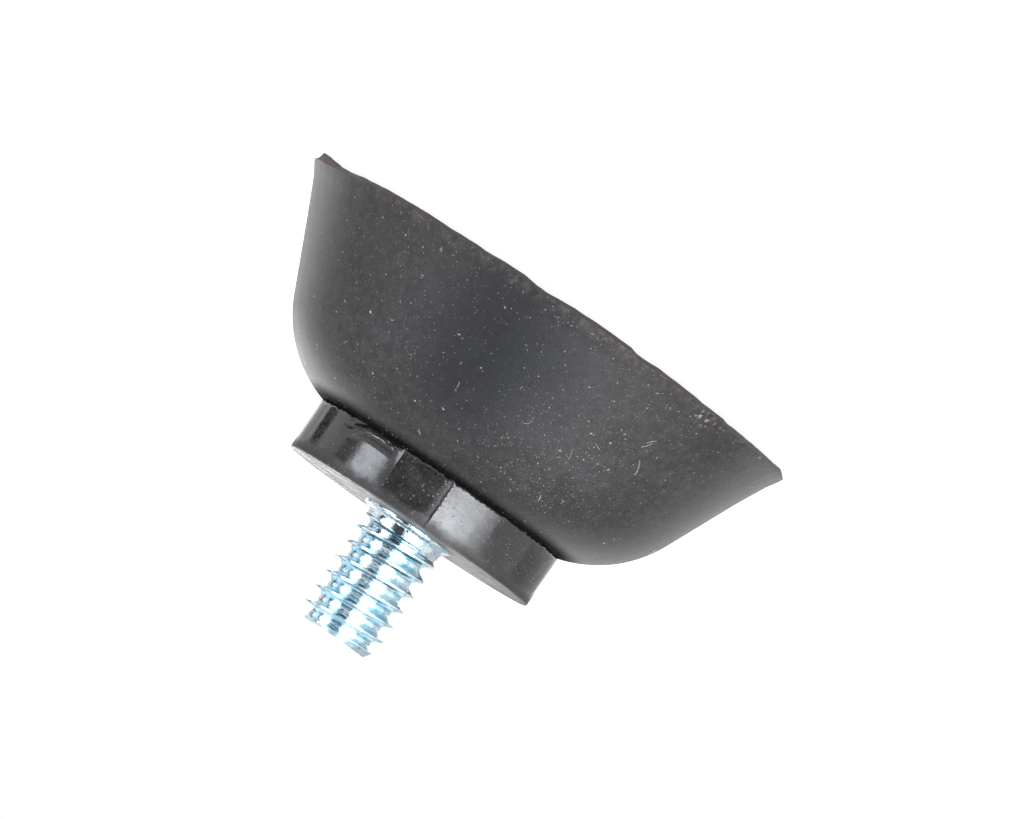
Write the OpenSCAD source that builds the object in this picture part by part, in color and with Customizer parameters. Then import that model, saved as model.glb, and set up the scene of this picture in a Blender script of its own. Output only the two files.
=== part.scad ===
// Rubber foot with a threaded stud. A hollow cup with a thin flared lip and a
// round base disc are one rubber moulding, with the head of a steel stud moulded
// into the disc. The foot stands on its lip, with the stud along +Z.

/* [Foot] */
// Height from the lip to the seating face of the disc
foot_h = 18.3; // [16:0.1:24]
// Diameter over the lip
rim_d = 40.1; // [37:0.1:50]

/* [Base disc] */
// Diameter of the disc
disc_d = 20.1; // [17:0.1:23]
// Height of the disc above the shoulder of the cup
disc_h = 4.05; // [3.5:0.05:7]
// Chamfer that breaks the edge of the seating face
edge_break = 0.15; // [0.05:0.05:0.5]

/* [Cup] */
// Outer radius of the rounded shoulder
shoulder_r = 9.2; // [7.5:0.1:11.5]
// Slope of the shoulder where it leaves the disc, in degrees below level
shoulder_fall = 16; // [5:1:28]
// Rubber thickness round the shoulder
wall_t = 2.2; // [1.4:0.1:3]

/* [Lip] */
// Height at which the lip starts to flare out of the straight wall
flare_h = 1.6; // [1:0.1:3]
// Width that the flare adds over that height
flare_w = 0.68; // [0.55:0.01:1.2]
// Slanted cut where the moulding was trimmed, as wide as it is high
trim_cut = 0.45; // [0.2:0.05:0.7]
// Width of the flat land on the edge of the lip
land_w = 0.25; // [0.15:0.05:0.4]

/* [Stud] */
// Major diameter of the thread, 1/4 in
thread_d = 6.35; // [5:0.05:7]
// Distance from crest to crest of the thread, 20 to the inch
pitch = 1.27; // [1:0.01:1.6]
// Height of the first crest above the seating face
first_crest = 1.76; // [1.6:0.01:3]
// Length of the stud above the seating face, 3/8 in
stud_len = 9.525; // [7:0.025:25]
// Diameter of the end face
tip_d = 5.1; // [4:0.1:5.6]
// Height of the chamfer that leads onto the end face
tip_h = 0.85; // [0.4:0.05:1.5]
// Diameter of the plain collar under the thread
collar_d = 7.1; // [7.1:0.1:9]
// Height of the collar above the seating face
collar_h = 0.25; // [0.1:0.05:0.6]

/* [Head in the rubber] */
// Width of the hexagon across its flats, 7/16 in
head_af = 11.11; // [9.6:0.01:13]
// Height of the hexagon
head_h = 4; // [3:0.1:4.5]
// Rubber between the seating face and the head
head_cover = 1; // [0.6:0.1:1.5]
// Least rubber between the head and the hollow of the cup
floor_t = 1.2; // [0.8:0.1:2]

/* [Hidden] */
$fn = 160;
arc_steps = 24;

// How far a cutting shape runs past what it cuts
overrun = 1;

disc_r = disc_d / 2;
rim_r = rim_d / 2;
shoulder_z = foot_h - disc_h;
head_top_z = foot_h - head_cover;
head_bottom_z = head_top_z - head_h;
tip_z = foot_h + stud_len;

// Share of the largest arc at which a stretch of straight wall is still left
arc_share = 0.97;

// Outer shoulder: an arc that starts at the foot of the disc and is limited by the
// wall under it, because the largest arc runs straight into the flare
flare_top = [rim_r - flare_w, flare_h];
reach = flare_top - [disc_r, shoulder_z];
largest_r = -reach * reach / 2 / (reach * [sin(shoulder_fall), cos(shoulder_fall)]);
outer_r = min(shoulder_r, arc_share * largest_r);
outer_c = [disc_r, shoulder_z] - outer_r * [sin(shoulder_fall), cos(shoulder_fall)];
outer_end = tangent_angle(outer_c, outer_r, flare_top);

// Hollow: its arc keeps wall_t from the shoulder and floor_t from the head
hollow_r = outer_r - wall_t;
hollow_c = [outer_c[0], min(outer_c[1], head_bottom_z - floor_t - hollow_r)];
lip_inside = [rim_r - trim_cut - land_w, 0];
hollow_end = tangent_angle(hollow_c, hollow_r, lip_inside);

// Thread of 60 degrees, its crests an eighth and its roots a quarter of the pitch wide
thread_r = thread_d / 2;
crest_w = pitch / 8;
root_w = pitch / 4;
flank_w = (pitch - crest_w - root_w) / 2;
root_r = thread_r - flank_w / tan(30);

// Angle from +Z at which the line from a point p outside the circle touches it
function tangent_angle(c, r, p) = atan2(p[0] - c[0], p[1] - c[1]) - acos(r / norm(p - c));

// Points of an arc round c, with the angles counted from +Z towards +X
function arc(c, r, from, to) =
    [for (i = [0 : arc_steps]) let (a = from + (to - from) * i / arc_steps) c + r * [sin(a), cos(a)]];

// Half section of the disc and the cup as if solid, from the axis outwards
function cup_section() = concat(
    [[0, foot_h], [disc_r - edge_break, foot_h], [disc_r, foot_h - edge_break]],
    arc(outer_c, outer_r, shoulder_fall, outer_end),
    [flare_top, [rim_r, trim_cut], [rim_r - trim_cut, 0], [0, 0]]
);

// Half section of the hollow, closed off below the lip
function hollow_section() = concat(
    [[0, hollow_c[1] + hollow_r]],
    arc(hollow_c, hollow_r, 0, hollow_end),
    [lip_inside, lip_inside - [0, overrun], [0, -overrun]]
);

// Hexagonal head, with the corners of its underside turned off
module hex_head() {
    corner_r = head_af / 2 / cos(30);
    turned_r = corner_r + overrun;
    turned_h = (turned_r - head_af / 2) * tan(30);
    intersection() {
        translate([0, 0, head_bottom_z]) cylinder(r = corner_r, h = head_h, $fn = 6);
        rotate_extrude() polygon([
            [0, head_top_z], [turned_r, head_top_z], [turned_r, head_bottom_z + turned_h],
            [head_af / 2, head_bottom_z], [0, head_bottom_z]
        ]);
    }
}

// Collar, from the head up through the rubber to just above the seating face
module collar() {
    translate([0, 0, head_top_z]) cylinder(d = collar_d, h = head_cover + collar_h);
}

// One turn of the thread, as a groove of the thread's section round the shank
module groove() {
    rotate_extrude() polygon([
        [root_r, -root_w / 2], [root_r, root_w / 2], [thread_r, root_w / 2 + flank_w],
        [thread_r + overrun, root_w / 2 + flank_w], [thread_r + overrun, -root_w / 2 - flank_w],
        [thread_r, -root_w / 2 - flank_w]
    ]);
}

// Shank with its plain neck, its grooves and the chamfer that leads onto the end face
module shank() {
    difference() {
        union() {
            translate([0, 0, foot_h]) cylinder(d = thread_d, h = stud_len - tip_h);
            translate([0, 0, tip_z - tip_h]) cylinder(d1 = thread_d, d2 = tip_d, h = tip_h);
        }
        for (up = [first_crest + pitch / 2 : pitch : stud_len]) translate([0, 0, foot_h + up]) groove();
    }
}

module rubber_cup() {
    color("#3b3b3d") difference() {
        rotate_extrude() polygon(cup_section());
        rotate_extrude() polygon(hollow_section());
        hex_head();
        collar();
    }
}

module threaded_stud() {
    color("lightsteelblue") {
        hex_head();
        collar();
        shank();
    }
}

rubber_cup();
threaded_stud();
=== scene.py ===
"""Looks of a rubber foot: a matte, dusty cup with a glossy base disc, and a zinc-plated threaded stud."""

import math
import random

import bpy
import numpy as np
from mathutils import Matrix, Vector


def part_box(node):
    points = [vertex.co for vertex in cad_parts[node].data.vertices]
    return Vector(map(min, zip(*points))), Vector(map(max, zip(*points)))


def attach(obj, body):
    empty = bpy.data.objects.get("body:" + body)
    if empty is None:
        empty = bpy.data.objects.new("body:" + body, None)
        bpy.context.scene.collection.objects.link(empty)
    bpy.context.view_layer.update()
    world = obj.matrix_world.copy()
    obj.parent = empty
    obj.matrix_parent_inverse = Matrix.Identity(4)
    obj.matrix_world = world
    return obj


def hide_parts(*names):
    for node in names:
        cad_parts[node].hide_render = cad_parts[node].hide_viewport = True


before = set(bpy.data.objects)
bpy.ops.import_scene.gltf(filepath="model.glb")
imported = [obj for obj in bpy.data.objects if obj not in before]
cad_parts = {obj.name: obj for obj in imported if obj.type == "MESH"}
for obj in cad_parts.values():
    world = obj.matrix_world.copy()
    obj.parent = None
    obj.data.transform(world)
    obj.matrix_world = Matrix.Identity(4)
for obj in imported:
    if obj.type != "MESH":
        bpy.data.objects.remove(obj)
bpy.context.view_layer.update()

MM = 0.001

# Sizes that the frame gives, in millimetres
FOOT_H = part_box("rubber_cup")[1][2] / MM
RIM_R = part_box("rubber_cup")[1][0] / MM
TIP_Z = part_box("threaded_stud")[1][2] / MM
HEAD_BOTTOM_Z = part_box("threaded_stud")[0][2] / MM

# Rubber, in millimetres, as in the solids. The shoulder leaves the disc at SHOULDER_FALL degrees below level
DISC_R = 10.05
DISC_H = 4.05
SHOULDER_R = 9.2
SHOULDER_FALL = 16
WALL_T = 2.2
FLARE_H = 1.6
FLARE_W = 0.68
TRIM_CUT = 0.45
LAND_W = 0.25
FLOOR_T = 1.2

# Chamfer of the seating face, which looks sharper in the photograph than the solids make it
EDGE_BREAK = 0.07

# Stud, in millimetres, as in the solids
THREAD_R = 3.175
TIP_R = 2.55
TIP_H = 0.85
COLLAR_R = 3.55
COLLAR_H = 0.25
HEAD_AF = 11.11
HEAD_H = 4.0

# Thread of the stud, 20 turns to the inch
PITCH = 1.27
THREAD_DEPTH = 0.687
CREST_W = PITCH / 8
ROOT_W = PITCH / 4
FLANK_W = (PITCH - CREST_W - ROOT_W) / 2

SHOULDER_Z = FOOT_H - DISC_H
HEAD_TOP_Z = HEAD_BOTTOM_Z + HEAD_H
LIP_IN_R = RIM_R - TRIM_CUT - LAND_W
LAND_MID_R = LIP_IN_R + LAND_W / 2

# Gap that keeps the rubber clear of the head and the collar inside it
POCKET_GAP = 0.01
# Distance within which vertices are merged, and within which one counts as on a surface or on the axis
WELD = 0.0005
ON = 0.001


def select_none():
    """Deselects every object, and leaves edit mode if it is on."""
    if bpy.context.object and bpy.context.object.mode == "EDIT":
        bpy.ops.object.mode_set(mode="OBJECT")
    bpy.ops.object.select_all(action="DESELECT")


def draw_chain(name, points):
    """A new object in edit mode: a chain of edges through points in mm."""
    select_none()
    bpy.ops.mesh.primitive_circle_add(vertices=3, radius=MM, location=(0, 0, 0), enter_editmode=True)
    bpy.ops.mesh.merge(type="CENTER")
    bpy.ops.transform.translate(value=Vector(points[0]) * MM)
    for start, stop in zip(points, points[1:]):
        step = (Vector(stop) - Vector(start)) * MM
        bpy.ops.mesh.extrude_region_move(TRANSFORM_OT_translate={"value": step})
    obj = bpy.context.object
    obj.name = name
    return obj


def draw_outline(name, points):
    """A new object in edit mode: a chain of edges in the XZ plane, through points (radius, height) in mm."""
    return draw_chain(name, [(r, 0, z) for r, z in points])


def merge_doubles():
    """Selects the whole mesh in edit mode, and merges the vertices that lie on each other."""
    bpy.ops.mesh.select_all(action="SELECT")
    bpy.ops.mesh.remove_doubles(threshold=WELD * MM)


def spin_outline(columns):
    """Turns the outline once round Z and joins the turn to its start."""
    bpy.ops.mesh.select_all(action="SELECT")
    bpy.ops.mesh.spin(steps=columns, angle=math.tau, center=(0, 0, 0), axis=(0, 0, 1))
    merge_doubles()
    bpy.ops.mesh.normals_make_consistent(inside=False)
    bpy.ops.object.mode_set(mode="OBJECT")


def cut_level(height, **parts):
    """Cuts the mesh in edit mode at a height in mm. parts says what is cleared, and if the cut is filled."""
    bpy.ops.mesh.select_all(action="SELECT")
    bpy.ops.mesh.bisect(plane_co=(0, 0, height * MM), plane_no=(0, 0, 1), threshold=1e-7, **parts)


def arc(centre, radius, start, stop, count):
    """Points of an arc in count steps, with its angles in degrees from +Z towards +X."""
    angles = [math.radians(start + (stop - start) * i / count) for i in range(count + 1)]
    return [(centre[0] + radius * math.sin(a), centre[1] + radius * math.cos(a)) for a in angles]


def line(start, stop, count):
    """Points of a straight line in count steps, its start left out."""
    return [
        (start[0] + (stop[0] - start[0]) * i / count, start[1] + (stop[1] - start[1]) * i / count)
        for i in range(1, count + 1)
    ]


def tangent_angle(centre, radius, point):
    """Angle from +Z at which the line from a point outside a circle touches it, in degrees."""
    across, up = point[0] - centre[0], point[1] - centre[1]
    return math.degrees(math.atan2(across, up) - math.acos(radius / math.hypot(across, up)))


def smooth(low, high, value):
    """0 at low, 1 at high and an S curve between them."""
    t = np.clip((value - low) / (high - low), 0, 1)
    return t * t * (3 - 2 * t)


def bump(distance, width):
    """1 on a line, falling to 0 on both sides of it."""
    return np.exp(-((distance / width) ** 2))


def uneven(angle, seed, lobes, size):
    """An uneven wave of about a size, which closes on itself in a turn of 360 degrees."""
    rand = random.Random(seed)
    total = np.zeros_like(angle)
    for count in lobes:
        total += rand.uniform(0.5, 1) * np.sin(np.radians(count * angle + rand.uniform(0, 360)))
    return total * size / math.sqrt(len(lobes))


def read_vertices(obj):
    """The mesh's vertices, in mm."""
    flat = np.empty(len(obj.data.vertices) * 3, dtype=np.float32)
    obj.data.vertices.foreach_get("co", flat)
    return flat.reshape(-1, 3).astype(np.float64) / MM


def move_vertices(obj, x, y, z):
    """Puts the mesh's vertices at new places, in mm."""
    places = np.column_stack((x, y, z))
    obj.data.vertices.foreach_set("co", (places * MM).astype(np.float32).ravel())
    obj.data.update()


def face_middles(obj):
    """Radius and height of each face's middle, in mm, and the upward part of its normal."""
    count = len(obj.data.polygons)
    middles = np.empty(count * 3, dtype=np.float32)
    normals = np.empty(count * 3, dtype=np.float32)
    obj.data.polygons.foreach_get("center", middles)
    obj.data.polygons.foreach_get("normal", normals)
    middles = middles.reshape(-1, 3) / MM
    return np.hypot(middles[:, 0], middles[:, 1]), middles[:, 2], normals.reshape(-1, 3)[:, 2]


def hexagon_r(turn):
    """Radius of the head's hexagon at an angle from +X in degrees."""
    return HEAD_AF / 2 / np.cos(np.radians(np.mod(turn, 60) - 30))


def turned_z(turn):
    """Height at which the turned underside of the head meets its sides."""
    return HEAD_BOTTOM_Z + (hexagon_r(turn) - HEAD_AF / 2) * math.tan(math.radians(30))


# The rubber moulding

# Columns of the mesh round the axis, and the share by which they are drawn together on the camera's side
COLUMNS = 480
GATHER = 0.5
# Finishes, numbered in the order in which their materials are added to the rubber
MATTE, GLOSS, GROUND, CUT, HOLLOW, CORNER_FIRST = range(6)
# Depth under the seating face at which the rings of the disc's side get closer
GLOSS_TOP = 1.4
# Height of the dull groove at the foot of the disc, painted dark as shade, and its mean depth
GROOVE_H = 0.14
GROOVE_DEPTH = 0.08
# Painted shade on the cup round the groove, in rings of less shiny copies of the matte rubber: how far below
# it each ring reaches, and how much shine is left there
CORNER = ((0.62, 0.75), (0.46, 0.5), (0.3, 0.25), (0.16, 0.08))

# Lift of the trimmed lip above the level on which the foot stands, by angle from -Y towards -X
LIP_LIFT = (
    (-180, 0.0), (-150, 0.0), (-120, 0.05), (-90, 0.08), (-80, 0.22), (-72, 0.4), (-64, 0.47),
    (-60.8, 0.48), (-55, 0.39), (-50, 0.34), (-45, 0.3), (-34, 0.28), (-27, 0.33), (-21, 0.29),
    (-18.7, 0.35), (-14, 0.26), (-9, 0.25), (-5.7, 0.41), (-3, 0.4), (0, 0.33), (3, 0.26), (6, 0.23),
    (9, 0.2), (13, 0.22), (17.4, 0.24), (18.9, 0.37), (20.6, 0.39), (25, 0.31), (30, 0.34), (35, 0.37),
    (38, 0.43), (45.5, 0.43), (47.2, 0.51), (55, 0.51), (62, 0.52), (73, 0.5), (80, 0.38), (90, 0.3),
    (120, 0.2), (150, 0.05), (180, 0.0),
)
# Heights at which the rubber is still lifted in full and no longer at all, and the lifted band's width
LIFT_FULL = 0.5
LIFT_END = 4.5
LIFT_BAND = 3.0
# How much lower the cut is on the side that faces the camera
CUT_LOW = 0.2
# Flash that the knife left on the lip: its root and its point by angle from +X towards -Y, the share of the
# way that it stands out to the rim, and its distance from the rim
TAB_ROOT = 9.0
TAB_POINT = 24.0
TAB_SHARE = 0.8
TAB_GAP = 0.05

# Seam of the mould on the disc, by angle from -Y towards -X: the step across it and the burr along it
SEAM_AT = 5.7
SEAM_STEP = 0.01
SEAM_BURR = 0.022
# Ridge beside the seam
RIDGE_AT = -18.0
RIDGE_LIFT = 0.03
# Fold where the rubber didn't knit: its depth under the seating face by angle, its crest, and how far the
# rubber falls in above and below it
FOLD = ((-47.5, 3.2), (-42, 3.46), (-36.6, 3.7), (-30, 3.72), (-21.4, 3.62))
FOLD_CREST = 0.03
FOLD_ABOVE = 0.17
FOLD_BELOW = 0.14


def shoulder_centre():
    """Centre of the shoulder's arc, in the section."""
    fall = math.radians(SHOULDER_FALL)
    return (DISC_R - SHOULDER_R * math.sin(fall), SHOULDER_Z - SHOULDER_R * math.cos(fall))


def outer_wall():
    """The outside of the cup in section, from the foot of the disc to the top of the flare."""
    centre = shoulder_centre()
    flare_top = (RIM_R - FLARE_W, FLARE_H)
    points = arc(centre, SHOULDER_R, SHOULDER_FALL, tangent_angle(centre, SHOULDER_R, flare_top), 40)
    return points + line(points[-1], flare_top, 20)


def cup_outline():
    """The rubber's section, from the pocket for the head over the outside to the crown of the hollow."""
    hollow_r = SHOULDER_R - WALL_T
    outer_c = shoulder_centre()
    hollow_c = (outer_c[0], min(outer_c[1], HEAD_BOTTOM_Z - FLOOR_T - hollow_r))
    lip_in = (LIP_IN_R, 0)
    hollow_end = tangent_angle(hollow_c, hollow_r, lip_in)
    inside = arc(hollow_c, hollow_r, hollow_end, 0, 16)
    pocket_r = HEAD_AF / 2 + POCKET_GAP
    hole_r = COLLAR_R + POCKET_GAP
    points = [(0, HEAD_BOTTOM_Z)]
    for corner, count in (
        ((HEAD_AF / 2, HEAD_BOTTOM_Z), 2),
        ((pocket_r, HEAD_BOTTOM_Z + POCKET_GAP), 1),
        ((pocket_r, HEAD_TOP_Z), 2),
        ((hole_r, HEAD_TOP_Z), 2),
        ((hole_r, FOOT_H), 2),
        ((DISC_R - EDGE_BREAK, FOOT_H), 10),
        ((DISC_R, FOOT_H - EDGE_BREAK), 2),
        ((DISC_R, FOOT_H - GLOSS_TOP), 8),
        ((DISC_R, SHOULDER_Z), 40),
    ):
        points += line(points[-1], corner, count)
    points += outer_wall()[1:]
    for corner, count in (
        ((RIM_R, TRIM_CUT), 9),
        ((RIM_R - TRIM_CUT, 0), 6),
        ((LAND_MID_R, 0), 1),
        (lip_in, 2),
        (inside[0], 20),
    ):
        points += line(points[-1], corner, count)
    points += inside[1:]
    return points + line(points[-1], (0, hollow_c[1] + hollow_r), 2)


def number_finishes(obj):
    """Gives each face of the rubber the number of its finish."""
    r, z, up = face_middles(obj)
    seat = (up > 0.9) & (z > FOOT_H - 0.01) & (r > COLLAR_R)
    disc_side = (z > SHOULDER_Z + GROOVE_H) & (r > DISC_R - EDGE_BREAK) & ~seat
    groove = (z > SHOULDER_Z) & (z < SHOULDER_Z + GROOVE_H) & (r > DISC_R - 0.1)
    knife = (z < TRIM_CUT) & (r > LIP_IN_R) & (up < -0.1)
    outside = ((up > 0.02) & (z < SHOULDER_Z) & (r > DISC_R)) | groove
    numbers = np.full(len(r), HOLLOW)
    numbers[outside] = MATTE
    # The rings round the groove take the less shiny copies of the matte rubber, a painted shade
    for ring, (reach, _) in enumerate(CORNER):
        numbers[outside & (z > SHOULDER_Z - reach)] = CORNER_FIRST + ring
    numbers[disc_side] = GLOSS
    numbers[seat] = GROUND
    numbers[knife] = CUT
    obj.data.polygons.foreach_set("material_index", numbers.astype(np.int32))


def trimmed_lip(side, r, z):
    """Radius and height of the uneven lip and its flash. side is the angle from -Y towards -X."""
    lift = np.interp(side, *zip(*LIP_LIFT)) + uneven(side, seed=11, lobes=range(30, 90, 7), size=0.012)
    lift = np.maximum(lift, 0)
    held = 1 - smooth(LIFT_FULL, LIFT_END, z)
    lowered = CUT_LOW * np.cos(np.radians(np.clip(side, -90, 90))) * smooth(0, TRIM_CUT, z)
    from_x = side + 90
    hang = np.clip((TAB_POINT - from_x) / (TAB_POINT - TAB_ROOT), 0, 1) * (from_x > TAB_ROOT)
    flash = (z < TRIM_CUT - ON) & (r > LAND_MID_R - ON)
    hang = np.where(flash, hang, 0)
    rim = bump(z - TRIM_CUT, 0.12) * (r > LIP_IN_R + LAND_W)
    ragged = rim * np.abs(uneven(side, seed=5, lobes=range(60, 200, 11), size=0.018))
    lip_r = r - ragged + TAB_SHARE * hang * (RIM_R - TAB_GAP - r)
    return lip_r, z + (lift * (1 - hang) - lowered) * held


def marked_disc(side, r, z):
    """Radius of the disc's side with the marks on it. side is the angle from -Y towards -X."""
    deep = FOOT_H - z
    along = np.radians(side) * DISC_R
    seam = np.radians(SEAM_AT) * DISC_R + uneven(deep * 60, seed=3, lobes=(2, 5, 9, 23), size=0.035)
    step = -SEAM_STEP * smooth(0.05, -0.05, along - seam) * smooth(-36, -12, side)
    lumps = 0.5 + 0.5 * np.sin(deep * 11) * np.sin(deep * 27 + 1)
    burr = SEAM_BURR * bump(along - seam, 0.07) * lumps
    ridge_at = np.radians(RIDGE_AT) * DISC_R
    ridge = RIDGE_LIFT * bump(along - ridge_at, 0.12) * smooth(1.6, 3.8, deep)
    fold_at = np.interp(side, *zip(*FOLD))
    fold_at = fold_at + uneven(side * 3, seed=31, lobes=(7, 11, 19), size=0.02)
    under_fold = deep - fold_at
    ends = smooth(-52, -40, side) * smooth(-19, -23, side)
    crest = FOLD_CREST * bump(under_fold, 0.07) * ends
    above = -FOLD_ABOVE * smooth(-0.9, -0.15, under_fold) * smooth(0, -0.15, under_fold) * ends
    below = -FOLD_BELOW * smooth(0.03, 0.4, under_fold) * ends
    groove_top = DISC_H - GROOVE_H + uneven(side, seed=21, lobes=range(20, 150, 9), size=0.06)
    depth = np.maximum(GROOVE_DEPTH + uneven(side, seed=22, lobes=range(15, 120, 7), size=0.05), 0.01)
    groove = -depth * smooth(groove_top - 0.08, groove_top + 0.1, deep) * (1 - ends)
    waves = uneven(side, seed=23, lobes=range(3, 14), size=0.003) * np.sin(deep * 1.3 + 0.5)
    dents = uneven(side, seed=24, lobes=range(9, 40, 3), size=0.0012)
    dents = dents * np.sin(deep * 4.1 + np.radians(side) * 9)
    return r + step + burr + ridge + crest + above + below + groove + waves + dents


def mark_rubber(obj):
    """Fits the pocket to the head's hexagon, and gives the disc and the lip the marks of mould and knife."""
    x, y, z = read_vertices(obj).T
    r = np.hypot(x, y)
    angle = np.arctan2(-x, -y)
    angle = angle - GATHER * np.sin(angle)
    side = np.degrees(angle)
    turn = np.mod(-90 - side, 360)
    pocket = (z > HEAD_BOTTOM_Z) & (z < HEAD_TOP_Z + ON) & (np.abs(r - HEAD_AF / 2 - POCKET_GAP) < ON)
    pocket_low = pocket & (z < HEAD_BOTTOM_Z + 2 * POCKET_GAP)
    on_disc = (z > SHOULDER_Z - ON) & (z < FOOT_H - EDGE_BREAK + ON) & (np.abs(r - DISC_R) < ON)
    on_lip = (z < LIFT_END) & (r > LIP_IN_R - ON)
    by_lip = (z < LIFT_END) & (r > LIP_IN_R - LIFT_BAND)
    lip_r, lip_z = trimmed_lip(side, r, z)
    new_r, new_z = r.copy(), z.copy()
    new_r[pocket] = hexagon_r(turn[pocket]) + POCKET_GAP
    new_z[pocket_low] = turned_z(turn[pocket_low]) + POCKET_GAP
    new_r[on_disc] = marked_disc(side[on_disc], r[on_disc], z[on_disc])
    new_r[on_lip] = lip_r[on_lip]
    new_z[by_lip] = lip_z[by_lip]
    new_r[r < ON] = 0
    move_vertices(obj, -new_r * np.sin(angle), -new_r * np.cos(angle), new_z)


def rubber_cup():
    """The rubber moulding: spun from its section, with the marks of its mould and of the trimming knife."""
    obj = draw_outline("cup_and_disc", cup_outline())
    spin_outline(COLUMNS)
    number_finishes(obj)
    mark_rubber(obj)
    return obj


# The stud

# Mesh of the thread: turns, columns round the axis, and steps from crest to crest
TURNS = 11
THREAD_COLUMNS = 128
THREAD_STEPS = 20
# Share of a flank's height that is eased into a curve
FLANK_EASE = 0.25
# Height of the first crest above the seating face on the side of +X, if the thread went down to it
FIRST_CREST = 0.805
# Plain neck under the thread: its radius, and the heights at which the thread starts and is full
NECK_R = 3.05
NECK_TOP = 0.85
THREAD_FULL = 1.55
# Height at which the thread is cut off, and the number and distance of the rings that are drawn out under it
NECK_CUT = 0.8
RINGS_BELOW = 10
RING_STEP = 0.2
# Nicks in the crests of the thread: their number, and the heights between which they lie
NICKS = 60
NICK_BAND = (1.3, 9.0)


def thread_outline():
    """One turn of the thread from crest to crest, a little rounded, starting well under the neck."""
    start = FOOT_H + FIRST_CREST - 2 * PITCH
    points = []
    for i in range(THREAD_STEPS + 1):
        up = PITCH * i / THREAD_STEPS
        from_crest = min(up, PITCH - up)
        down = min(1.0, max(0.0, (from_crest - CREST_W / 2) / FLANK_W))
        eased = down * down * (3 - 2 * down)
        down = (1 - FLANK_EASE) * down + FLANK_EASE * eased
        points.append((THREAD_R - THREAD_DEPTH * down, start + up))
    return points


def thread_mesh():
    """The thread, screwed up from its outline and cut level at both ends, with rings drawn out under it."""
    obj = draw_outline("zinc_stud", thread_outline())
    bpy.ops.object.mode_set(mode="OBJECT")
    screw = obj.modifiers.new("thread", "SCREW")
    screw.angle = math.tau
    screw.screw_offset = PITCH * MM
    screw.iterations = TURNS
    screw.steps = THREAD_COLUMNS
    screw.render_steps = THREAD_COLUMNS
    screw.use_merge_vertices = True
    screw.merge_threshold = WELD * MM
    bpy.ops.object.modifier_apply(modifier="thread")
    bpy.ops.object.mode_set(mode="EDIT")
    merge_doubles()
    cut_level(TIP_Z, clear_outer=True, use_fill=True)
    cut_level(FOOT_H + NECK_CUT, clear_inner=True)
    for _ in range(RINGS_BELOW):
        bpy.ops.mesh.extrude_edges_move(TRANSFORM_OT_translate={"value": (0, 0, -RING_STEP * MM)})
    bpy.ops.mesh.edge_face_add()
    bpy.ops.object.mode_set(mode="OBJECT")
    return obj


def nicked(turn, r, z):
    """Radius of the thread with the nicks in its crests."""
    rand = random.Random(7)
    for _ in range(NICKS):
        nick_turn = rand.uniform(0, 360)
        nick_z = FOOT_H + rand.uniform(*NICK_BAND)
        gap = np.abs(np.mod(turn - nick_turn + 180, 360) - 180)
        size = rand.uniform(0.03, 0.1)
        r = r - size * bump(gap, rand.uniform(2, 5)) * bump(z - nick_z, 0.25) * smooth(2.95, 3.12, r)
    return r


def rings_below(turn):
    """Radius and height of each ring under the neck: the torn flare, the collar and the head."""
    torn_r = uneven(turn, seed=9, lobes=range(7, 70, 6), size=0.018)
    torn_z = uneven(turn, seed=10, lobes=range(5, 60, 5), size=0.025)
    return (
        (NECK_R + 0.02, FOOT_H + 0.58 + torn_z),
        (NECK_R + 0.07 + torn_r, FOOT_H + 0.44 + torn_z),
        (NECK_R + 0.2 + torn_r, FOOT_H + 0.31 + torn_z),
        (COLLAR_R - 0.07 + torn_r, FOOT_H + COLLAR_H - 0.05 + torn_z),
        (COLLAR_R, FOOT_H + 0.1),
        (COLLAR_R, HEAD_TOP_Z),
        (hexagon_r(turn), HEAD_TOP_Z),
        (hexagon_r(turn), turned_z(turn)),
        (HEAD_AF / 2, HEAD_BOTTOM_Z),
        (HEAD_AF / 4, HEAD_BOTTOM_Z),
    )


def shape_stud(obj):
    """Gives the stud its neck, the chamfer of its end, its nicks, its collar and its head."""
    x, y, z = read_vertices(obj).T
    r = np.hypot(x, y)
    turn = np.mod(np.degrees(np.arctan2(y, x)), 360)
    neck_z = FOOT_H + NECK_CUT
    above = z - FOOT_H
    full = smooth(NECK_TOP, THREAD_FULL, above)
    scores = 0.02 * np.sin(above * 21 + np.radians(turn)) + 0.012 * np.sin(above * 34 - np.radians(3 * turn))
    r = NECK_R + (r - NECK_R) * full + scores * (1 - full)
    chamfer_r = TIP_R + (TIP_Z - z) * (THREAD_R - TIP_R) / TIP_H
    r = np.where(z > neck_z - ON, np.minimum(r, chamfer_r), r)
    r = nicked(turn, r, z)
    ring = np.rint((neck_z - z) / RING_STEP)
    for number, (ring_r, ring_z) in enumerate(rings_below(turn), 1):
        r = np.where(ring == number, ring_r, r)
        z = np.where(ring == number, ring_z, z)
    angle = np.radians(turn)
    move_vertices(obj, r * np.cos(angle), r * np.sin(angle), z)


def threaded_stud():
    """The stud, from its end face down the thread to the collar and the head inside the rubber."""
    obj = thread_mesh()
    shape_stud(obj)
    bpy.ops.object.mode_set(mode="EDIT")
    bpy.ops.mesh.select_all(action="SELECT")
    bpy.ops.mesh.normals_make_consistent(inside=False)
    bpy.ops.object.mode_set(mode="OBJECT")
    return obj


# The lint

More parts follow.
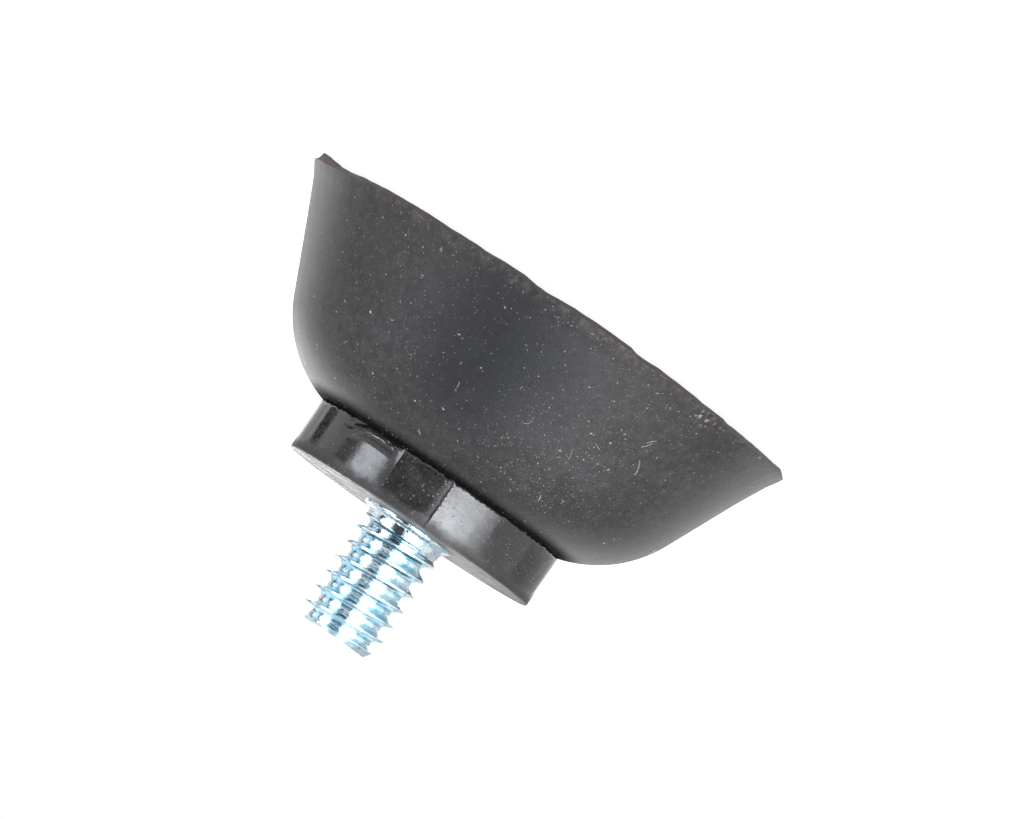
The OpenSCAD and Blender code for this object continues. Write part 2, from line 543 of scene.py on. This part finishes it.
# Fibres on the cup: angle from -Y towards -X and height of both ends, thickness and bow
FIBRES = (
    (40.7, 7.07, 38.4, 6.1, 0.06, 0.2), (36.8, 4.67, 35.6, 5.29, 0.05, 0.06),
    (37.2, 4.35, 35.8, 4.87, 0.05, -0.05), (28.5, 7.06, 26.4, 6.92, 0.045, 0.2),
    (24.2, 8.88, 23.3, 8.3, 0.035, 0.08), (28.4, 12.29, 27.2, 11.9, 0.06, 0.03),
    (10.6, 8.13, 9.2, 8.62, 0.035, 0.1), (81.0, 9.92, 81.8, 10.52, 0.11, 0.0),
    (59.4, 2.25, 56.6, 2.07, 0.06, 0.2), (-13.3, 13.09, -14.3, 12.91, 0.07, 0.0),
    (-9.5, 9.19, -9.6, 8.73, 0.035, 0.05), (28.3, 1.67, 27.8, 1.81, 0.09, 0.0),
    (-102.0, 6.3, -104.5, 5.9, 0.05, 0.15), (-160.0, 8.4, -158.0, 9.0, 0.05, -0.1),
    (131.0, 5.2, 133.0, 5.7, 0.06, 0.1),
)
FIBRE_STEPS = 8
# Height of a fibre's middle above the rubber, as a share of its thickness
FIBRE_LIFT = 0.35


def fibre(side_0, z_0, side_1, z_1, thickness, bow):
    """One fibre that lies along the wall of the cup and bows sideways."""
    rs, zs = zip(*reversed(outer_wall()))
    points = []
    for i in range(FIBRE_STEPS + 1):
        t = i / FIBRE_STEPS
        z = z_0 + (z_1 - z_0) * t + 0.5 * bow * math.sin(math.pi * t)
        r = float(np.interp(z, zs, rs)) + FIBRE_LIFT * thickness
        side = math.radians(side_0 + (side_1 - side_0) * t) + bow / r * math.sin(math.pi * t)
        points.append((-r * math.sin(side), -r * math.cos(side), z))
    draw_chain("fibre", points)
    bpy.ops.object.mode_set(mode="OBJECT")
    bpy.ops.object.convert(target="CURVE")
    curve = bpy.context.object
    curve.data.bevel_depth = thickness / 2 * MM
    curve.data.bevel_resolution = 1
    curve.data.use_fill_caps = True
    bpy.ops.object.convert(target="MESH")
    return bpy.context.object


def lint():
    """Fibres of lint that cling to the cup, joined as one piece."""
    pieces = [fibre(*places) for places in FIBRES]
    select_none()
    for piece in pieces:
        piece.select_set(True)
    bpy.context.view_layer.objects.active = pieces[0]
    bpy.ops.object.join()
    obj = bpy.context.object
    obj.name = "lint_on_cup"
    bpy.ops.object.mode_set(mode="EDIT")
    merge_doubles()
    bpy.ops.mesh.normals_make_consistent(inside=False)
    bpy.ops.object.mode_set(mode="OBJECT")
    return obj


# Nodes of the materials

def fill(tree, node, inputs):
    """Fills a node's inputs with values, or with the sockets that feed them."""
    for socket, value in inputs.items():
        if isinstance(value, bpy.types.NodeSocket):
            tree.links.new(value, node.inputs[socket])
        else:
            node.inputs[socket].default_value = value


def put(tree, kind, inputs, **settings):
    """Adds a node, and gives it its settings and its inputs."""
    node = tree.nodes.new(kind)
    for name, value in settings.items():
        setattr(node, name, value)
    fill(tree, node, inputs)
    return node


def use(tree, group, inputs):
    """Places a node group in a tree, and gives its outputs."""
    return put(tree, "ShaderNodeGroup", inputs, node_tree=group).outputs


def maths(tree, operation, first, second):
    """The result of a sum on two values or sockets."""
    return put(tree, "ShaderNodeMath", {0: first, 1: second}, operation=operation).outputs[0]


def plus(tree, first, second):
    """One value or socket added to another."""
    return maths(tree, "ADD", first, second)


def times(tree, first, second):
    """One value or socket multiplied by another."""
    return maths(tree, "MULTIPLY", first, second)


def larger(tree, first, second):
    """The larger of two values or sockets."""
    return maths(tree, "MAXIMUM", first, second)


def vector_maths(tree, operation, inputs):
    """A node that works on vectors."""
    return put(tree, "ShaderNodeVectorMath", inputs, operation=operation).outputs


def remap(tree, value, low, high, to_low=0.0, to_high=1.0):
    """Maps low..high onto to_low..to_high with eased ends."""
    inputs = {"Value": value, "From Min": low, "From Max": high, "To Min": to_low, "To Max": to_high}
    return put(tree, "ShaderNodeMapRange", inputs, interpolation_type="SMOOTHSTEP").outputs["Result"]


def between(tree, share, at_0, at_1):
    """Goes from one value to another as share goes from 0 to 1."""
    return remap(tree, share, 0.0, 1.0, at_0, at_1)


def blend_colour(tree, share, first, second):
    """Goes from one colour to another, each three numbers or a socket, as share goes from 0 to 1."""
    node = put(tree, "ShaderNodeMix", {"Factor": share}, data_type="RGBA")
    for socket, value in (("A_Color", first), ("B_Color", second)):
        target = next(s for s in node.inputs if s.identifier == socket)
        if isinstance(value, bpy.types.NodeSocket):
            tree.links.new(value, target)
        else:
            target.default_value = (*value, 1)
    return next(s for s in node.outputs if s.identifier == "Result_Color")


def object_place(tree):
    """Place on the piece, in metres."""
    return tree.nodes.new("ShaderNodeTexCoord").outputs["Object"]


def stretched_place(tree, place, scale):
    """A place with its axes scaled, so that patterns on it are drawn out into streaks."""
    return put(tree, "ShaderNodeMapping", {"Vector": place, "Scale": scale}).outputs["Vector"]


def along(tree, place, axis):
    """A place's distance along an axis, in metres."""
    return put(tree, "ShaderNodeSeparateXYZ", {"Vector": place}).outputs[axis]


def near(tree, place, spot, inner, outer):
    """1 within inner of a spot and 0 beyond outer, in mm."""
    spot = tuple(v * MM for v in spot)
    gap = vector_maths(tree, "DISTANCE", {0: place, 1: spot})["Value"]
    return remap(tree, gap, outer * MM, inner * MM)


# Effects that the materials share

def effect(name, sockets, outputs):
    """A new node group. sockets lists its inputs with kind and default, outputs its outputs with kind."""
    tree = bpy.data.node_groups.new(name, "ShaderNodeTree")
    for label, kind, value in sockets:
        made = tree.interface.new_socket(name=label, in_out="INPUT", socket_type="NodeSocket" + kind)
        if value is not None:
            made.default_value = value
    for label, kind in outputs:
        tree.interface.new_socket(name=label, in_out="OUTPUT", socket_type="NodeSocket" + kind)
    return tree, tree.nodes.new("NodeGroupInput").outputs, tree.nodes.new("NodeGroupOutput").inputs


def make_specks():
    """Scattered dust: round or ragged specks in a share of the cells of a Voronoi pattern."""
    tree, given, out = effect(
        "dust_specks",
        (("Vector", "Vector", None), ("Scale", "Float", 1500.0), ("Size", "Float", 0.2),
         ("Share", "Float", 0.5), ("Ragged", "Float", 0.3)),
        (("Mask", "Float"),),
    )
    rough = put(tree, "ShaderNodeTexNoise", {"Vector": given["Vector"], "Scale": 6000.0, "Detail": 1.0})
    centred = vector_maths(tree, "SUBTRACT", {0: rough.outputs["Color"], 1: (0.5, 0.5, 0.5)})[0]
    stretch = maths(tree, "DIVIDE", given["Ragged"], given["Scale"])
    shift = vector_maths(tree, "SCALE", {0: centred, "Scale": stretch})[0]
    place = vector_maths(tree, "ADD", {0: given["Vector"], 1: shift})[0]
    cells = put(tree, "ShaderNodeTexVoronoi", {"Vector": place, "Scale": given["Scale"]}).outputs
    draw = put(tree, "ShaderNodeSeparateColor", {"Color": cells["Color"]}).outputs
    there = maths(tree, "LESS_THAN", draw["Red"], given["Share"])
    size = times(tree, given["Size"], between(tree, draw["Green"], 0.45, 1.0))
    dot = remap(tree, cells["Distance"], size, times(tree, size, 0.55))
    faint = between(tree, draw["Blue"], 0.35, 1.0)
    tree.links.new(times(tree, times(tree, dot, there), faint), out["Mask"])
    return tree


def make_clouds():
    """Soft blotches, from 0 to 1."""
    tree, given, out = effect(
        "cloudy_patches",
        (("Vector", "Vector", None), ("Scale", "Float", 300.0), ("Detail", "Float", 4.0),
         ("Low", "Float", 0.35), ("High", "Float", 0.65)),
        (("Mask", "Float"),),
    )
    cloud = put(
        tree, "ShaderNodeTexNoise",
        {"Vector": given["Vector"], "Scale": given["Scale"], "Detail": given["Detail"], "Roughness": 0.6},
    )
    tree.links.new(remap(tree, cloud.outputs["Fac"], given["Low"], given["High"]), out["Mask"])
    return tree


def make_grain():
    """Fine grain of a moulded or ground surface, as a normal."""
    tree, given, out = effect(
        "surface_grain",
        (("Vector", "Vector", None), ("Scale", "Float", 6000.0), ("Depth", "Float", 0.00001),
         ("Strength", "Float", 1.0)),
        (("Normal", "Vector"),),
    )
    fine = put(
        tree, "ShaderNodeTexNoise",
        {"Vector": given["Vector"], "Scale": given["Scale"], "Detail": 3.0},
    )
    lift = put(
        tree, "ShaderNodeBump",
        {"Height": fine.outputs["Fac"], "Distance": given["Depth"], "Strength": given["Strength"]},
    )
    tree.links.new(lift.outputs["Normal"], out["Normal"])
    return tree


SPECKS = make_specks()
CLOUDS = make_clouds()
GRAIN = make_grain()


def clouds(tree, place, scale, detail, low, high):
    """Mask of soft blotches, with scale in blotches per metre. low and high set how much they cover."""
    given = {"Vector": place, "Scale": scale, "Detail": detail, "Low": low, "High": high}
    return use(tree, CLOUDS, given)["Mask"]


def grain(tree, place, scale, depth, strength):
    """Normal of a fine grain, with scale in grains per metre and depth in mm."""
    given = {"Vector": place, "Scale": scale, "Depth": depth * MM, "Strength": strength}
    return use(tree, GRAIN, given)["Normal"]


def tinted(tree, colour, layers):
    """Lays tints on a colour, each given as its mask, how much of it shows at the most, and the tint."""
    for mask, most, tint in layers:
        colour = blend_colour(tree, times(tree, mask, most), colour, tint)
    return colour


def dusted(tree, place, colour, layers):
    """Lays specks on a colour, each layer given as cells per metre, size, share, raggedness and colour.

    Gives the new colour, and all specks as one mask.
    """
    total = None
    for scale, size, share, ragged, dust in layers:
        given = {"Vector": place, "Scale": scale, "Size": size, "Share": share, "Ragged": ragged}
        mask = use(tree, SPECKS, given)["Mask"]
        colour = blend_colour(tree, mask, colour, dust)
        total = mask if total is None else larger(tree, total, mask)
    return colour, total


# Materials

FILM_DUST = (0.17, 0.168, 0.163)
DUST = (0.5, 0.5, 0.48)
PALE_DUST = (0.85, 0.85, 0.81)
CRUMBS = (0.5, 0.5, 0.36)

# Spots on the rubber, in millimetres: where it faces the camera, wiped clean of dust and painted darker and
# bluer as a dark reflection; dusty; crumbly; and torn into a flash
WIPED_SHADED_SPOT = (1.5, -18.3, 6.2)
DUSTY_SPOT = (-5.7, -14.2, 10.2)
CRUMBLY_SPOT = (-12.84, -15.4, 1.0)
FLASH_SPOT = (19.2, -5.0, 0)
# Middle of the ring over the lip on which dust settles
LEDGE_MIDDLE = (0, 0, 1.3)


def material(name):
    """A new material, its tree and its shader."""
    mat = bpy.data.materials.new(name)
    mat.use_nodes = True
    return mat, mat.node_tree, mat.node_tree.nodes["Principled BSDF"]


def matte_rubber(name="matte_rubber", shine=1.0):
    """Outside of the cup: matte moulded rubber, blotchy, browner towards the lip, with dust lying on it. It
    has painted shade at the foot of the disc and on a wiped spot facing the camera, and a painted sheen
    where it is seen edge on.
    """
    mat, tree, shader = material(name)
    place = object_place(tree)
    height = along(tree, place, "Z")
    low = remap(tree, height, 4.0 * MM, 0.8 * MM)
    # Painted shade: the cup turns darker towards the foot of the disc, a painted contact shadow
    corner = remap(tree, height, (SHOULDER_Z - 0.75) * MM, (SHOULDER_Z - 0.1) * MM)
    # Spot facing the camera with less dust on it, painted darker and bluer as a painted dark reflection
    wiped_and_shaded = near(tree, place, WIPED_SHADED_SPOT, 2.5, 10.0)
    cloud = near(tree, place, DUSTY_SPOT, 1.5, 7.5)
    dirt = near(tree, place, CRUMBLY_SPOT, 0.5, 1.7)
    ledge = times(tree, low, near(tree, place, LEDGE_MIDDLE, 19.3, 20.6))
    blotch = clouds(tree, place, scale=240, detail=6, low=0.4, high=0.62)
    film = clouds(tree, place, scale=420, detail=6, low=0.4, high=0.75)
    mottle = clouds(tree, place, scale=1500, detail=5, low=0.38, high=0.64)
    patch = clouds(tree, place, scale=2200, detail=5, low=0.44, high=0.6)
    fine = clouds(tree, place, scale=7000, detail=3, low=0.42, high=0.62)
    crust = times(tree, patch, remap(tree, height, 1.6 * MM, 0.7 * MM))
    # Painted sheen: a pale tint where the cup is seen edge on, stronger towards +X where the rim light
    # falls, and none in the painted shade at the disc's foot
    facing = put(tree, "ShaderNodeLayerWeight", {"Blend": 0.5}).outputs["Facing"]
    painted_sheen = times(tree, remap(tree, facing, 0.4, 1.0), maths(tree, "SUBTRACT", 1.0, corner))
    painted_sheen = times(tree, painted_sheen, remap(tree, along(tree, place, "X"), 9 * MM, 14 * MM, 1.0, 1.8))
    colour = tinted(tree, (0.023, 0.021, 0.0215), (
        (blotch, 0.7, (0.052, 0.05, 0.054)),
        (fine, 0.55, (0.09, 0.088, 0.092)),
        (low, 0.35, (0.042, 0.034, 0.031)),
        (mottle, 0.6, (0.011, 0.01, 0.0105)),
        # less dust, and a painted dark reflection where the cup faces the camera
        (wiped_and_shaded, 0.85, (0.004, 0.005, 0.0095)),
        # painted contact shadow at the foot of the disc
        (corner, 0.85, (0.005, 0.0045, 0.0045)),
        # painted sheen at the edges
        (painted_sheen, 1.0, (0.24, 0.235, 0.24)),
        (crust, 0.45, (0.15, 0.13, 0.122)),
    ))
    clinging = between(tree, wiped_and_shaded, 1.0, 0.4)
    film_share = plus(tree, between(tree, film, 0.2, 0.65), times(tree, cloud, 0.5))
    dust_share = plus(tree, times(tree, cloud, 0.7), times(tree, ledge, 0.5))
    dust_share = plus(tree, dust_share, times(tree, crust, 0.6))
    pale_share = plus(tree, times(tree, cloud, 0.4), 0.22)
    colour, dust = dusted(tree, place, colour, (
        (4500, 0.4, times(tree, film_share, clinging), 0.6, FILM_DUST),
        (3600, 0.24, plus(tree, dust_share, 0.25), 0.6, DUST),
        (2000, 0.17, times(tree, pale_share, clinging), 0.6, PALE_DUST),
        (900, 0.12, 0.25, 0.7, PALE_DUST),
        (2100, 0.42, dirt, 0.8, CRUMBS),
    ))
    rough = plus(tree, between(tree, blotch, 0.5, 0.58), times(tree, larger(tree, dust, corner), 0.3))
    normal = grain(tree, place, scale=6500, depth=0.03, strength=0.8)
    fill(tree, shader, {"Base Color": colour, "Roughness": rough, "Normal": normal})
    # Less specular and sheen in the copies round the groove is painted shade
    fill(tree, shader, {"Specular IOR Level": 0.42 * shine})
    fill(tree, shader, {"Sheen Weight": 0.1 * shine, "Sheen Roughness": 0.3})
    return mat


def gloss_rubber():
    """Side of the disc: rubber that took the polish of its mould, rubbed dull near the seating face."""
    mat, tree, shader = material("gloss_rubber")
    place = object_place(tree)
    height = along(tree, place, "Z")
    smear = clouds(tree, place, scale=420, detail=6, low=0.4, high=0.7)
    wobble = clouds(tree, place, scale=900, detail=4, low=0.2, high=0.8)
    fine = clouds(tree, place, scale=7000, detail=3, low=0.42, high=0.64)
    edge = plus(tree, height, times(tree, wobble, 0.5 * MM))
    rubbed = remap(tree, edge, (FOOT_H - 0.85) * MM, (FOOT_H + 0.1) * MM)
    worn = remap(tree, height, (FOOT_H - 0.12) * MM, (FOOT_H - 0.05) * MM)
    seam_turn = math.radians(SEAM_AT)
    across = {0: place, 1: (-math.cos(seam_turn), math.sin(seam_turn), 0)}
    from_seam = vector_maths(tree, "DOT_PRODUCT", across)["Value"]
    seam = remap(tree, maths(tree, "ABSOLUTE", from_seam, 0.0), 0.28 * MM, 0.06 * MM)
    colour = tinted(tree, (0.017, 0.017, 0.019), (
        (smear, 1.0, (0.032, 0.03, 0.031)),
        (fine, 0.45, (0.08, 0.078, 0.076)),
        (rubbed, 0.85, (0.014, 0.011, 0.01)),
        (worn, 0.7, (0.17, 0.163, 0.155)),
    ))
    dust_share = times(tree, larger(tree, seam, times(tree, rubbed, 0.3)), 0.5)
    colour, dust = dusted(tree, place, colour, (
        (4500, 0.4, between(tree, smear, 0.2, 0.6), 0.6, FILM_DUST),
        (3600, 0.19, plus(tree, dust_share, 0.25), 0.6, DUST),
        (2000, 0.13, 0.22, 0.6, PALE_DUST),
        (900, 0.09, 0.3, 0.7, PALE_DUST),
    ))
    rough = plus(tree, between(tree, smear, 0.12, 0.21), times(tree, rubbed, 0.44))
    rough = plus(tree, rough, times(tree, dust, 0.45))
    normal = grain(tree, place, scale=3500, depth=0.008, strength=0.5)
    fill(tree, shader, {"Base Color": colour, "Roughness": rough, "Normal": normal})
    return mat


def ground_rubber():
    """Seating face: rubber ground flat, grey and finely streaked, more polished on one side."""
    mat, tree, shader = material("ground_rubber")
    place = object_place(tree)
    stretched = stretched_place(tree, place, (0.12, 1.0, 1.0))
    streak = clouds(tree, stretched, scale=3800, detail=3, low=0.3, high=0.7)
    blotch = clouds(tree, place, scale=500, detail=4, low=0.35, high=0.65)
    across = along(tree, place, "X")
    colour = tinted(tree, (0.03, 0.028, 0.027), (
        (streak, 1.0, (0.42, 0.41, 0.4)),
        (blotch, 0.5, (0.07, 0.066, 0.063)),
    ))
    colour, dust = dusted(tree, place, colour, (
        (2500, 0.3, 0.5, 0.6, (0.5, 0.49, 0.48)),
        (1800, 0.34, remap(tree, across, -11 * MM, 4 * MM, 0.9, 0.4), 0.7, (0.008, 0.007, 0.007)),
        (900, 0.14, 0.3, 0.6, PALE_DUST),
    ))
    worn = remap(tree, across, -11 * MM, 11 * MM, 0.7, 0.56)
    rough = plus(tree, worn, between(tree, streak, 0.2, -0.2))
    rough = plus(tree, rough, times(tree, dust, 0.35))
    normal = grain(tree, stretched, scale=4200, depth=0.06, strength=1.0)
    fill(tree, shader, {"Base Color": colour, "Roughness": rough, "Normal": normal})
    return mat


def cut_rubber():
    """Trimmed edge of the lip: a dull knife cut, brown along its foot and on the flash that it left."""
    mat, tree, shader = material("cut_rubber")
    place = object_place(tree)
    tear = clouds(tree, place, scale=2600, detail=4, low=0.3, high=0.7)
    foot = remap(tree, along(tree, place, "Z"), 0.8 * MM, 0.4 * MM)
    brown = larger(tree, foot, near(tree, place, FLASH_SPOT, 4, 6))
    colour = blend_colour(tree, tear, (0.035, 0.018, 0.015), (0.1, 0.062, 0.051))
    colour = blend_colour(tree, brown, (0.045, 0.042, 0.043), colour)
    colour, dust = dusted(tree, place, colour, (
        (2400, 0.26, 0.4, 0.6, (0.24, 0.22, 0.2)),
        (1500, 0.14, 0.3, 0.6, DUST),
    ))
    rough = plus(tree, between(tree, tear, 0.58, 0.72), times(tree, dust, 0.2))
    normal = grain(tree, place, scale=3000, depth=0.04, strength=0.9)
    fill(tree, shader, {"Base Color": colour, "Roughness": rough, "Normal": normal})
    return mat


def hollow_rubber():
    """Inside of the cup: the same rubber, cleaner and a little smoother."""
    mat, tree, shader = material("hollow_rubber")
    place = object_place(tree)
    blotch = clouds(tree, place, scale=260, detail=4, low=0.35, high=0.65)
    colour = blend_colour(tree, blotch, (0.017, 0.017, 0.018), (0.028, 0.027, 0.026))
    colour, dust = dusted(tree, place, colour, ((1500, 0.12, 0.2, 0.5, DUST),))
    rough = plus(tree, between(tree, blotch, 0.36, 0.44), times(tree, dust, 0.3))
    normal = grain(tree, place, scale=5200, depth=0.01, strength=0.5)
    fill(tree, shader, {"Base Color": colour, "Roughness": rough, "Normal": normal})
    return mat


def zinc_plate():
    """Zinc plate with a blue passivate, finely streaked round the stud and duller in spots."""
    mat, tree, shader = material("zinc_plate")
    place = object_place(tree)
    stretched = stretched_place(tree, place, (1.0, 1.0, 4.5))
    streak = clouds(tree, stretched, scale=2400, detail=3, low=0.3, high=0.7)
    tint = clouds(tree, place, scale=600, detail=3, low=0.35, high=0.65)
    colour = tinted(tree, (0.53, 0.79, 0.88), (
        (tint, 1.0, (0.8, 0.9, 0.94)),
        (streak, 0.4, (0.36, 0.45, 0.62)),
    ))
    colour, spots = dusted(tree, place, colour, (
        (2600, 0.34, 0.6, 0.8, (0.17, 0.2, 0.32)),
        (1700, 0.24, 0.4, 0.8, (0.9, 0.92, 0.94)),
    ))
    rough = plus(tree, between(tree, streak, 0.06, 0.14), times(tree, spots, 0.15))
    normal = grain(tree, stretched, scale=3200, depth=0.02, strength=0.8)
    fill(tree, shader, {"Base Color": colour, "Roughness": rough, "Normal": normal, "Metallic": 1.0})
    return mat


def lint_fibre():
    """Pale lint, a little darker where it is matted."""
    mat, tree, shader = material("lint_fibre")
    loose = clouds(tree, object_place(tree), scale=4000, detail=2, low=0.35, high=0.65)
    colour = blend_colour(tree, loose, (0.4, 0.4, 0.38), (0.78, 0.78, 0.75))
    fill(tree, shader, {"Base Color": colour, "Roughness": between(tree, loose, 0.65, 0.8)})
    return mat


# The studio

# Photographed view, in which the axis lies across the picture and the camera looks a little down on the
# disc: pixels per millimetre, roll in degrees, place and aim in millimetres, and width in pixels
SCALE = 14.17
AXIS_TURN = 145.83
CAMERA_BACK = 900.0
CAMERA_UP = 58.8
AIM = (-1.43, 0.0, 7.365)
FRAME_W = 1024

WHITE = (1, 1, 1)
PALE_BLUE = (0.96, 0.98, 1)
KEY_BLUE = (0.9, 0.93, 1)
FILL_BLUE = (0.85, 0.9, 1)

# Lamps that only reflections show: azimuth, distance, width, height, height of the lower edge, radiance and
# colour. The key light's reflection in the disc is four panels, brightest where they overlap
GLOSS_LAMPS = (
    ("key_glint_176", 35.2, 200, 176, 80, 0, 4, KEY_BLUE),
    ("key_glint_148", 31.7, 200, 148, 80, 0, 3, KEY_BLUE),
    ("key_glint_121", 28.2, 200, 121, 80, 0, 4.5, KEY_BLUE),
    ("key_glint_68", 21, 200, 68, 80, 0, 4, KEY_BLUE),
    ("key_high", 36.5, 200, 165, 530, 110, 1.6, PALE_BLUE),
    ("fill_glint", -57, 200, 92, 80, 0, 9.5, FILL_BLUE),
    ("fill_high", -57, 200, 92, 530, 110, 1.6, PALE_BLUE),
    ("rim_glint", -168, 240, 120, 180, 22, 3.6, WHITE),
)
# Cards that only reflections show: azimuth, distance, width, height, height of the lower edge and glow
CARDS = (
    ("front_card", -15, 235, 175, 520, 0, 0.06),
    ("edge_card", -79, 235, 74, 255, 5, 0.03),
    ("side_card", -123, 235, 66, 60, 0, 0.0),
    ("right_card", -147, 240, 85, 400, 0, 0.75),
    ("left_card", 130, 240, 277, 400, 0, 0.62),
)
# Light that the room throws on the foot, the floor's width in metres and the white that it shows
ROOM_LIGHT = 0.6
FLOOR_W = 6
FLOOR_GLOW = 0.96


def camera():
    """A long lens, rolled so that the foot lies in the picture as it does in the photograph."""
    place = Vector((0, -CAMERA_BACK, CAMERA_UP)) * MM
    ahead = (Vector(AIM) * MM - place).normalized()
    level = ahead.cross(Vector((0, 0, 1))).normalized()
    over = level.cross(ahead)
    turn = math.radians(AXIS_TURN)
    right = math.cos(turn) * level - math.sin(turn) * over
    up = math.sin(turn) * level + math.cos(turn) * over
    data = bpy.data.cameras.new("view")
    cam = bpy.data.objects.new("view", data)
    bpy.context.scene.collection.objects.link(cam)
    cam.matrix_world = Matrix.Translation(place) @ Matrix((right, up, -ahead)).transposed().to_4x4()
    distance = (Vector(AIM) * MM - place).length / MM
    data.sensor_width = 36
    data.lens = data.sensor_width * SCALE * distance / FRAME_W
    data.clip_start = 0.05
    data.clip_end = 20
    bpy.context.scene.camera = cam


def stand_up(obj, azimuth, distance, height, low):
    """Stands an upright panel round the foot, facing it. azimuth counts from the camera towards -X."""
    turn = math.radians(azimuth)
    middle = low + height / 2
    place = Vector((-math.sin(turn) * distance, -math.cos(turn) * distance, middle))
    obj.location = place * MM
    obj.rotation_euler = (place - Vector((0, 0, middle))).to_track_quat("Z", "Y").to_euler()


def softbox(name, azimuth, distance, width, height, low, radiance, colour=WHITE, shine_only=True):
    """A soft light panel. With shine_only, it shows in reflections and doesn't light what is matte."""
    data = bpy.data.lights.new(name, "AREA")
    data.shape = "RECTANGLE"
    data.size = width * MM
    data.size_y = height * MM
    data.energy = radiance * data.size * data.size_y * math.pi
    data.color = colour
    obj = bpy.data.objects.new(name, data)
    bpy.context.scene.collection.objects.link(obj)
    stand_up(obj, azimuth, distance, height, low)
    obj.visible_camera = False
    obj.visible_diffuse = not shine_only


def studio_plane(name, size, paint, colour, light):
    """A square without gloss, size metres wide. Gives it with its paint's tree and shader."""
    select_none()
    bpy.ops.mesh.primitive_plane_add(size=size)
    plane = bpy.context.object
    plane.name = name
    mat, tree, shader = material(paint)
    fill(tree, shader, {"Base Color": (*colour, 1), "Roughness": 1.0, "Specular IOR Level": 0.0})
    fill(tree, shader, {"Emission Color": (*light, 1)})
    plane.data.materials.append(mat)
    return plane, tree, shader


def card_seen(name, azimuth, distance, width, height, low, glow):
    """A black or grey card that only reflections see, so that glossy sides keep their dark gaps."""
    card, _, shader = studio_plane(name, 1, name + "_paint", (0.01, 0.01, 0.011), WHITE)
    shader.inputs["Emission Strength"].default_value = glow
    card.scale = (width * MM, height * MM, 1)
    card.visible_camera = False
    card.visible_diffuse = False
    card.visible_shadow = False
    stand_up(card, azimuth, distance, height, low)


def white_where_seen(tree, rest, seen):
    """A strength that is seen to the camera and in reflections, and rest to all other rays."""
    path = tree.nodes.new("ShaderNodeLightPath").outputs
    shown = larger(tree, path["Is Camera Ray"], path["Is Glossy Ray"])
    shown = larger(tree, shown, path["Is Transmission Ray"])
    return plus(tree, times(tree, shown, seen - rest), rest)


def stage():
    """Plain white floor that keeps the foot's shadow, in a white room."""
    _, tree, shader = studio_plane("floor", FLOOR_W, "floor_white", (0.8, 0.8, 0.8), (0.97, 0.985, 1))
    tree.links.new(white_where_seen(tree, 0.0, FLOOR_GLOW), shader.inputs["Emission Strength"])
    world = bpy.data.worlds.new("studio")
    bpy.context.scene.world = world
    world.use_nodes = True
    strength = white_where_seen(world.node_tree, ROOM_LIGHT, 1.0)
    fill(world.node_tree, world.node_tree.nodes["Background"], {"Strength": strength, "Color": (1, 1, 1, 1)})


def shade(obj, angle):
    """Smooth shading, with edges sharper than an angle in degrees kept."""
    select_none()
    obj.select_set(True)
    bpy.context.view_layer.objects.active = obj
    bpy.ops.object.shade_smooth_by_angle(angle=math.radians(angle))


camera()

cup = rubber_cup()
for finish in (matte_rubber, gloss_rubber, ground_rubber, cut_rubber, hollow_rubber):
    cup.data.materials.append(finish())
# Less shiny copies of the matte rubber paint shade on the rings round the groove
for number, (_, shine) in enumerate(CORNER, 1):
    cup.data.materials.append(matte_rubber(f"shaded_corner_rubber_{number}", shine))
shade(cup, 32)
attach(cup, "root")
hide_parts("rubber_cup")

stud = threaded_stud()
stud.data.materials.append(zinc_plate())
shade(stud, 35)
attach(stud, "root")
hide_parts("threaded_stud")

fibres = lint()
fibres.data.materials.append(lint_fibre())
shade(fibres, 60)
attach(fibres, "root")

for lamp in GLOSS_LAMPS:
    softbox(*lamp)
for card in CARDS:
    card_seen(*card)
softbox("key_soft", 20, 420, 300, 300, 0, 2.2, shine_only=False)
stage()

bpy.context.scene.view_settings.view_transform = "Standard"
